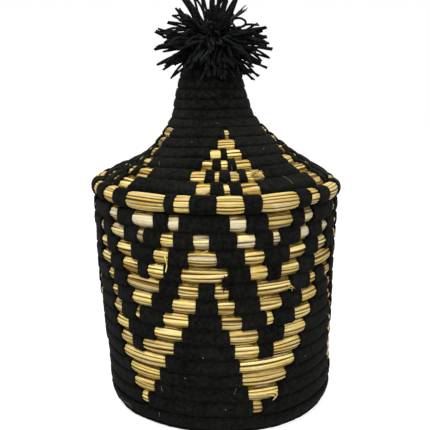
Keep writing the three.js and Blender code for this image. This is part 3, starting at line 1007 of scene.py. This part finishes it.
LID_ROUNDS = [
    (1, 0.0995, EDGE_Z + 0.0096, 0.0088, 0.0025),
    (2, 0.0850, EDGE_Z + 0.0190, 0.0079, 0.0020),
    (3, 0.0726, EDGE_Z + 0.0274, 0.0070, 0.0010),
    (4, 0.0622, EDGE_Z + 0.0358, 0.0064, 0.0004),
    (5, 0.0534, EDGE_Z + 0.0442, 0.0059, 0),
    (6, 0.0456, EDGE_Z + 0.0530, 0.0055, 0),
    (7, 0.0393, EDGE_Z + 0.0614, 0.0051, 0),
    (8, 0.0348, EDGE_Z + 0.0705, 0.0049, 0),
    (12, 0.0254, EDGE_Z + 0.1084, 0.0049, 0),
    (13, 0.0222, EDGE_Z + 0.1173, 0.0048, 0),
    (14, 0.0140, EDGE_Z + 0.1221, 0.0048, 0),
    (15, 0.0046, EDGE_Z + 0.1224, 0.0045, 0),
]
LID_TURNS = 13.9
# How much lower the rounds lie on the left, by their height above the edge's middle
LEFT_DROP = (
    [0.0096, 0.0190, 0.0274, 0.0358, 0.0442, 0.0530, 0.0614, 0.0705],
    [0.0012, 0.0034, 0.0042, 0.0036, 0.0022, 0.0012, 0.0004, 0],
)

# Bare straw in the cone's lowest rounds: the tree at the front, and those at both sides as far as
# they show. The front tree lies within so many degrees, and stands twice more at the back.
LID_PATTERN = [
    [(-78, -71.5), (-64, -61), (-56, -47), (-9.5, -3), (4, 6.5), (12.5, 21.5), (58.5, 68.5),
     (74, 76.5)],
    [(-86, -79), (-74.5, -71), (-65.5, -60), (-53.5, -43), (-15, -7), (-1, 1.5), (8, 12.5),
     (17.5, 27), (55.5, 69.5), (75, 79)],
    [(-79, -73), (-65, -55.5), (-11, -4), (2.5, 7), (13, 22.5), (56, 67), (74, 79)],
    [(-87.5, -80), (-73, -63), (-6, 2.5), (8, 18.5), (64, 74), (80, 87)],
    [(-82, -63.5), (1, 16.5), (73, 90)],
    [(-85, -60), (10, 14), (70, 88)],
]
FRONT_TREE = 30
BACK_TREES = (138, 213)


def lid_way(turns):
    """The lid's rope, lower on its left side."""
    way = rope_way(LID_ROUNDS, turns)
    across, depth, height = way["centre"].T
    left = np.clip(-across / np.hypot(across, depth), 0, 1) ** 2
    way["centre"][:, 2] -= left * np.interp(height - EDGE_Z, *LEFT_DROP)
    return way


lid_bare = bare_turns([
    row + [(a + turn, b + turn) for turn in BACK_TREES for a, b in row if abs(a) < FRONT_TREE]
    for row in LID_PATTERN
])
lid_rope = grow_rope(
    "lid_rope", [bound_way(lid_way, THIN_END, LID_TURNS, spacing=0.0032, bare=lid_bare)],
    "lid", "wool_bound_rope",
    Sides=20, Squareness=4.6, Spread=1.11, Sink=0.0030, Slim=0.0, Lumps=0.0014,
)
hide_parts("lid_coil")
grow_straw(
    "lid_straw", bare_ways(lid_way, lid_bare, 0.004, TUCK, press=([0], [1.04])), "lid",
    Stalks=10, Stalk=0.31, Wide=0.4, Drift=0.4, Seed=31,
)
grow_fuzz("lid_fuzz", lid_rope, "lid", "wool", black_wool,
          Density=24000.0, Length=0.0028, Seed=17)

# One patch of the cone's second round is frayed: broken fibres lie across it and stand out. A few
# pale hairs and flecks are caught in the wool near it.

FRAYED_ROUND = 2
FRAYED_FROM = 19.5
FRAYED_TO = 27.4
FRAYED_FIBRES = 26
# How far a fibre runs on round the lid, how far from the rope's middle its ends lie, how thick it
# is, halved, and how deep in shade
FRAYED_RUN = (2.0, 5.0)
FRAYED_ACROSS = (-0.007, 0.003)
FRAYED_HALF = (0.00025, 0.0005)
FRAYED_DEPTHS = (0.90, 0.90, 0.92, 0.94, 1.0)
LID_HAIRS = [
    [(2, 38.8, -0.0072, 0.0006), (1, 38.5, 0.0030, 0.0010), (1, 39.5, -0.0023, 0.0010),
     (1, 39.8, -0.0050, 0.0006)],
    [(3, -44.5, -0.0006, 0.0006), (3, -42.4, -0.0030, 0.0010), (3, -41.0, -0.0054, 0.0006)],
    [(3, 9.0, -0.0045, 0.0006), (2, 9.6, 0.0062, 0.0012), (2, 8.8, 0.0045, 0.0006)],
]
LID_FLECKS = [(7, 3.0, 0.0004), (7, 5.5, 0), (5, -24, 0), (4, 40, 0.001), (6, 160, 0)]


def frayed_ways():
    dice = random.Random(6)
    ways = []
    for fibre in range(FRAYED_FIBRES):
        run = dice.uniform(*FRAYED_RUN)
        angle = dice.uniform(FRAYED_FROM, FRAYED_TO - run)
        low, high = dice.uniform(*FRAYED_ACROSS), dice.uniform(*FRAYED_ACROSS)
        points = [
            (FRAYED_ROUND, angle, low, -0.0006),
            (FRAYED_ROUND, angle + run / 2, (low + high) / 2, 0.0004),
            (FRAYED_ROUND, angle + run, high, dice.uniform(0, 0.0006)),
        ]
        half, depth = dice.uniform(*FRAYED_HALF), dice.choice(FRAYED_DEPTHS)
        ways.append(along_rope(lid_way, points, half, depth=depth, count=7))
    return ways


grow("frayed_straw", frayed_ways(), strand_tree, "lid", "straw", Sides=5, Finish=golden_straw)
grow("lid_lint", lint_ways(lid_way, LID_HAIRS, LID_FLECKS), strand_tree, "lid", "wool",
     Sides=5, Finish=lint)

# The collar: two rounds of thin straw rope sewn under the cone with single turns of wool. It
# drops into the mouth and keeps the lid in place.

collar_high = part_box("collar_coil")[1]
COLLAR_HALF = 0.0054
COLLAR_R = collar_high.x - 0.0055
COLLAR_TOP = collar_high.z - 0.0052
COLLAR_ROUNDS = [
    (1, COLLAR_R, COLLAR_TOP, COLLAR_HALF, 0),
    (3, COLLAR_R, COLLAR_TOP - 0.0219, COLLAR_HALF, 0),
]
COLLAR_THIN_END = -0.4
COLLAR_TURNS = 1.75
# Turns of wool in each round, and how much of a round each takes up
COLLAR_STITCHES = 18
STITCH_WIDTH = 0.012


def collar_way(turns):
    return rope_way(COLLAR_ROUNDS, turns)


collar_bare = [
    (stitch / COLLAR_STITCHES + STITCH_WIDTH, (stitch + 1) / COLLAR_STITCHES)
    for stitch in range(int(COLLAR_TURNS * COLLAR_STITCHES))
]
collar_rope = grow_rope(
    "collar_rope",
    [bound_way(collar_way, COLLAR_THIN_END, COLLAR_TURNS, spacing=0.005, bare=collar_bare)],
    "lid", "straw",
    Sides=12, Squareness=2.1, Spread=1.0, Sink=0.0020, Slim=0.0020, Lumps=0.0006,
)
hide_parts("collar_coil")
grow_straw(
    "collar_straw", bare_ways(collar_way, collar_bare, 0.006, tuck=0.002), "lid",
    Stalks=10, Stalk=0.30, Wide=0.3, Drift=0.4, Seed=41,
)

# The pom-pom: cut lengths of thick black yarn tied in the middle on top of the crown. They stand
# out in tufts all round, some hang over the neck, and a few end in frays or loops.

# Its middle, and how far it reaches sideways, up and down from there
POM_MIDDLE = np.array([-0.0045, 0.0, EDGE_Z + 0.1338])
POM_REACH = 0.057
POM_RISE = 0.056
POM_DROP = 0.037
YARN_HALF = 0.00125
# Strands start within this of a point just under the middle
ROOT_SPREAD = (0.005, 0.005, 0.003)
ROOT_BELOW = 0.004

# Tufts stand all round, from the lowest angle up to the top, in degrees from the level. Their
# strands spread at the ends, and more so where they face the front or the back
TUFTS = 60
TUFT_LOWEST = -32
TUFT_STRANDS = 6
TUFT_SPREAD = 0.001344
FACING_SPREAD = 2.6
# Shares of the full length and thickness that a strand has, how much shorter two tufts in three
# are, one after the other, and how far a level strand sags
TUFT_LENGTH = (0.86, 1.02)
TUFT_SHORTER = 0.06
STRAND_THICK = (0.9, 1.25)
TUFT_SAG = 0.010
# Above this angle, in degrees, a tuft has a smaller share of strands
SPARSE_ABOVE = 38
SPARSE_SHARE = 0.5
# Short strands fill the middle: the share of the way out that they reach, and less at the top
CORE_STRANDS = 300
CORE_REACH = (0.42, 0.58)
CORE_TOP = 0.62
# Strands that hang over the neck in front and behind
HANGING_STRANDS = 90
HANGING_SPREAD = 0.42
HANGING_OUT = (0.034, 0.042)
HANGING_DOWN = (0.010, 0.030)

# The strands cling together in clumps, with gaps between them: where these point in the
# photograph, in degrees from straight up, how far off a strand still turns towards one, and how
# much of its own direction stays
CLUMPS = [-125, -111, -89, -74, -43, -28, -12, -1, 8, 16, 25, 71, 79, 88, 97, 108, 121]
CLUMP_WITHIN = 25
CLUMP_LOOSENESS = 0.05

# Ends of single strands that stand out in the photograph, sideways and up from the edge's middle
SINGLE_ENDS = [
    (-0.044, 0.164), (-0.0488, 0.1572), (-0.0517, 0.144), (-0.0614, 0.1325), (-0.0527, 0.1296),
    (-0.0585, 0.1172), (-0.0527, 0.1134), (-0.0449, 0.104), (0.0402, 0.155), (0.0411, 0.1477),
    (0.0473, 0.145), (0.0502, 0.1382), (0.0527, 0.1317), (0.0502, 0.125), (0.0481, 0.114),
    (0.0411, 0.107), (0.0364, 0.1026), (-0.033, 0.180), (-0.026, 0.187), (0.012, 0.187),
    (0.018, 0.183), (-0.005, 0.189), (0.004, 0.189), (-0.015, 0.185),
]
SINGLE_SPREAD = (0.0009, 0.006, 0.0009)
# One strand doubles back in a loop, and one end is brushed out to brown fibres, at the right
LOOP = [(0.004, 0.146), (0.0125, 0.158), (0.0205, 0.1612), (0.0268, 0.1580), (0.0248, 0.1535),
        (0.0165, 0.1515), (0.004, 0.142)]
LOOP_DEPTH = -0.012
FRAY_FROM = (0.0085, -0.010, 0.156)
FRAY_TO = (0.0262, -0.012, 0.1715)
FRAY_FIBRES = 14
FRAY_SPREAD = (0.0012, 0.0012, 0.0012)
FRAY_LENGTH = (0.85, 1.05)
FRAY_HALF = 0.0005


def pom_reach(lift):
    """How far the pom-pom's outline lies from its middle at an angle above the level."""
    height = POM_DROP if lift < 0 else POM_RISE
    return 1 / math.hypot(math.cos(lift) / POM_REACH, math.sin(lift) / height)


def heading(turn, lift):
    level = math.cos(lift)
    return np.array([level * math.sin(turn), -level * math.cos(turn), math.sin(lift)])


def gathered(way):
    """A strand's reach from the pom-pom's middle, turned towards the nearest clump. Those that
    point to the front or the back stay as they are."""
    across, deep, up = way
    far = math.hypot(across, up)
    angle = math.degrees(math.atan2(across, up))
    nearest = min(CLUMPS, key=lambda clump: abs(clump - angle))
    if abs(nearest - angle) > CLUMP_WITHIN or abs(deep) > 1.2 * far:
        return way
    turned = math.radians(nearest + (angle - nearest) * CLUMP_LOOSENESS)
    return np.array([far * math.sin(turned), deep, far * math.cos(turned)])


def pom_ways():
    """Every strand of the pom-pom, from one row of random draws."""
    dice = random.Random(8)
    sparse_lift = math.radians(SPARSE_ABOVE)
    lowest = math.radians(TUFT_LOWEST)

    def scatter(spreads):
        return np.array([dice.gauss(0, spread) for spread in spreads])

    def root():
        return POM_MIDDLE + (scatter(ROOT_SPREAD) - [0, 0, ROOT_BELOW])

    def strand_to(end, sag, stray, half=YARN_HALF):
        """A strand from its root to its end that sags and wanders a little on the way."""
        start = root()
        points = [start]
        for share, bow, loose in ((0.36, 0.75, 0.6), (0.70, 0.55, 1.0)):
            wander = scatter([stray * loose] * 3)
            points.append(start + (end - start) * share + [0, 0, bow * sag] + wander)
        return strand_way(points + [end], half)

    ways = []
    for across, up in SINGLE_ENDS:
        for k in range(2):
            end = np.array([across, 0, EDGE_Z + up]) + scatter(SINGLE_SPREAD) * (0.3 + k)
            ways.append(strand_to(end, sag=0.006, stray=0.0016))
    for tuft in range(TUFTS):
        rise = (tuft + 0.5) / TUFTS
        lift = math.asin(math.sin(lowest) * (1 - rise) + rise)
        turn = tuft * math.pi * (3 - math.sqrt(5))
        reach = pom_reach(lift) * (1 - TUFT_SHORTER * (tuft % 3))
        sparse = SPARSE_SHARE if lift > sparse_lift else 1
        facing = math.cos(turn) ** 2 * math.cos(lift) ** 2
        apart = TUFT_SPREAD * sparse * (1 + FACING_SPREAD * facing)
        for strand in range(round(TUFT_STRANDS * sparse)):
            spread = scatter([apart] * 3)
            length = reach * dice.uniform(*TUFT_LENGTH)
            end = POM_MIDDLE + gathered(heading(turn, lift) * length) + spread
            sag = TUFT_SAG * math.cos(lift) ** 2 * dice.uniform(0.5, 1.3)
            half = YARN_HALF * dice.uniform(*STRAND_THICK)
            ways.append(strand_to(end, sag, stray=0.0022 * sparse ** 2, half=half))
    for strand in range(HANGING_STRANDS):
        turn = dice.gauss(0, HANGING_SPREAD) + math.pi * (strand % 2)
        out, down = dice.uniform(*HANGING_OUT), dice.uniform(*HANGING_DOWN)
        end = POM_MIDDLE + [out * math.sin(turn), -out * math.cos(turn), -down]
        ways.append(strand_to(end, sag=0.010, stray=0.002))
    for strand in range(CORE_STRANDS):
        lift = math.asin(dice.uniform(math.sin(math.radians(TUFT_LOWEST - 4)), 1))
        turn = dice.uniform(0, 2 * math.pi)
        share = dice.uniform(*CORE_REACH) * (CORE_TOP if lift > sparse_lift else 1)
        end = POM_MIDDLE + heading(turn, lift) * pom_reach(lift) * share
        ways.append(strand_to(end, sag=0.006, stray=0.003, half=YARN_HALF * 1.1))
    loop = [(across, LOOP_DEPTH, EDGE_Z + up) for across, up in LOOP]
    ways.append(strand_way(loop, YARN_HALF, count=26))
    start, tip = (np.array(place) + [0, 0, EDGE_Z] for place in (FRAY_FROM, FRAY_TO))
    reach = tip - start
    for fibre in range(FRAY_FIBRES):
        apart = scatter(FRAY_SPREAD)
        end = start + reach * dice.uniform(*FRAY_LENGTH) + 1.2 * apart
        points = [root(), start, start + reach * 0.5 + apart * 0.6, end]
        ways.append(strand_way(points, FRAY_HALF, brown=1.0))
    return ways


def yarn():
    """Soft two-ply black yarn with loose fibres, brown where it is frayed."""
    material, tree, surface = new_material("black_yarn", (0.015, 0.015, 0.015))
    wool = felted(tree, dark=(0.0040, 0.0044, 0.0044), light=(0.0115, 0.0124, 0.0127), lint=0.004)
    spin = plus(tree, times(tree, attribute(tree, "around"), 2.0), waves(tree, 0.0035))
    height = plus(tree, wool["Height"], times(tree, maths(tree, "SINE", spin), 0.6))
    colour = mixed(tree, attribute(tree, "brown"), wool["Color"], (0.075, 0.06, 0.04, 1))
    matte(tree, surface, colour, bump(tree, height, 0.8, 0.0008), gloss=0.05)
    return material


black_yarn = yarn()
pompom = grow("pompom_yarn", pom_ways(), strand_tree, "lid", "yarn", Sides=6, Finish=black_yarn)
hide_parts("pompom")
grow_fuzz("pompom_fuzz", pompom, "lid", "yarn", black_yarn,
          Density=9000.0, Length=0.0026, Seed=19)

# The cord that ties the pom-pom on: thicker black yarn that goes down through the hole in the
# crown and is knotted inside the neck.

CORD_TOP = EDGE_Z + 0.150
CORD_HALF = 0.0017
# The knot's middle height, its turns' radius, and how far they go in and out, up and down
KNOT_Z = EDGE_Z + 0.1112
KNOT_R = 0.0036
KNOT_IN_OUT = 0.0016
KNOT_UP_DOWN = 0.0022


def cord_way():
    """Down from the pom-pom's middle, then twice round itself in a knot."""
    straight = [(0, 0, z) for z in np.linspace(CORD_TOP, KNOT_Z + 0.004, 10)]
    t = 2 * math.pi * np.arange(36) / 36
    r = KNOT_R + KNOT_IN_OUT * np.cos(3 * t)
    z = KNOT_Z + KNOT_UP_DOWN * np.sin(3 * t)
    wound = np.stack([r * np.cos(2 * t), r * np.sin(2 * t), z], 1)
    centre = np.concatenate([straight, wound]) + [POM_MIDDLE[0], 0, 0]
    return strand_way(centre, CORD_HALF, count=2 * len(centre))


pompom_cord = grow("pompom_cord", [cord_way()], strand_tree, "lid", "yarn",
                   Sides=8, Finish=black_yarn)
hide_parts("pompom_tie")

# The studio: a pale floor that runs off to white, soft light from above and in front, and the
# camera at the photograph's angle.

# How bright the floor is beyond its lit grey, and the light that the sky gives where it isn't seen
FLOOR_GLOW = 0.8
SKY_LIGHT = 0.32
LAMP_AIM = (0, 0, 0.2)
CAMERA_PLACE = (-0.0022, -0.8, 0.3507)
CAMERA_DOWN = 11.58


def seen_directly(tree):
    """1 where the camera sees a place itself, in a reflection or through something clear."""
    rays = put(tree, "ShaderNodeLightPath").outputs
    seen = maths(tree, "MAXIMUM", rays["Is Camera Ray"], rays["Is Glossy Ray"])
    return maths(tree, "MAXIMUM", seen, rays["Is Transmission Ray"])


floor_mesh = bpy.data.meshes.new("floor")
floor_mesh.from_pydata([(-3, -3, 0), (3, -3, 0), (3, 3, 0), (-3, 3, 0)], [], [(0, 1, 2, 3)])
floor = placed("floor", floor_mesh)
white, tree, surface = new_material("white_floor", (0.9, 0.9, 0.9))
connect(tree, surface, {
    "Base Color": (0.5, 0.5, 0.5, 1), "Roughness": 0.9, "Emission Color": (1, 1, 1, 1),
    "Emission Strength": times(tree, seen_directly(tree), FLOOR_GLOW),
})
floor_mesh.materials.append(white)

world = bpy.data.worlds.new("studio")
world.use_nodes = True
bpy.context.scene.world = world
sky = world.node_tree
connect(sky, sky.nodes["Background"], {
    "Color": (1, 1, 1, 1), "Strength": ranged(sky, seen_directly(sky), 0, 1, SKY_LIGHT, 1.0),
})


def soft_lamp(name, place, size, power):
    light = bpy.data.lights.new(name, "AREA")
    light.shape = "DISK"
    light.size = size
    light.energy = power
    lamp = placed(name, light)
    lamp.location = place
    aim = mathutils.Vector(np.array(LAMP_AIM) - place)
    lamp.rotation_euler = aim.to_track_quat("-Z", "Y").to_euler()


soft_lamp("top_lamp", (-0.3, -0.9, 1.6), size=0.9, power=30)
soft_lamp("front_lamp", (0.7, -1.4, 0.9), size=1.0, power=9)

camera = placed("camera", bpy.data.cameras.new("camera"))
camera.location = CAMERA_PLACE
camera.rotation_euler = (math.radians(90 - CAMERA_DOWN), 0, 0)
camera.data.lens = 67.6
camera.data.sensor_width = 36
camera.data.clip_start = 0.05
bpy.context.scene.camera = camera
bpy.context.scene.view_settings.view_transform = "Standard"
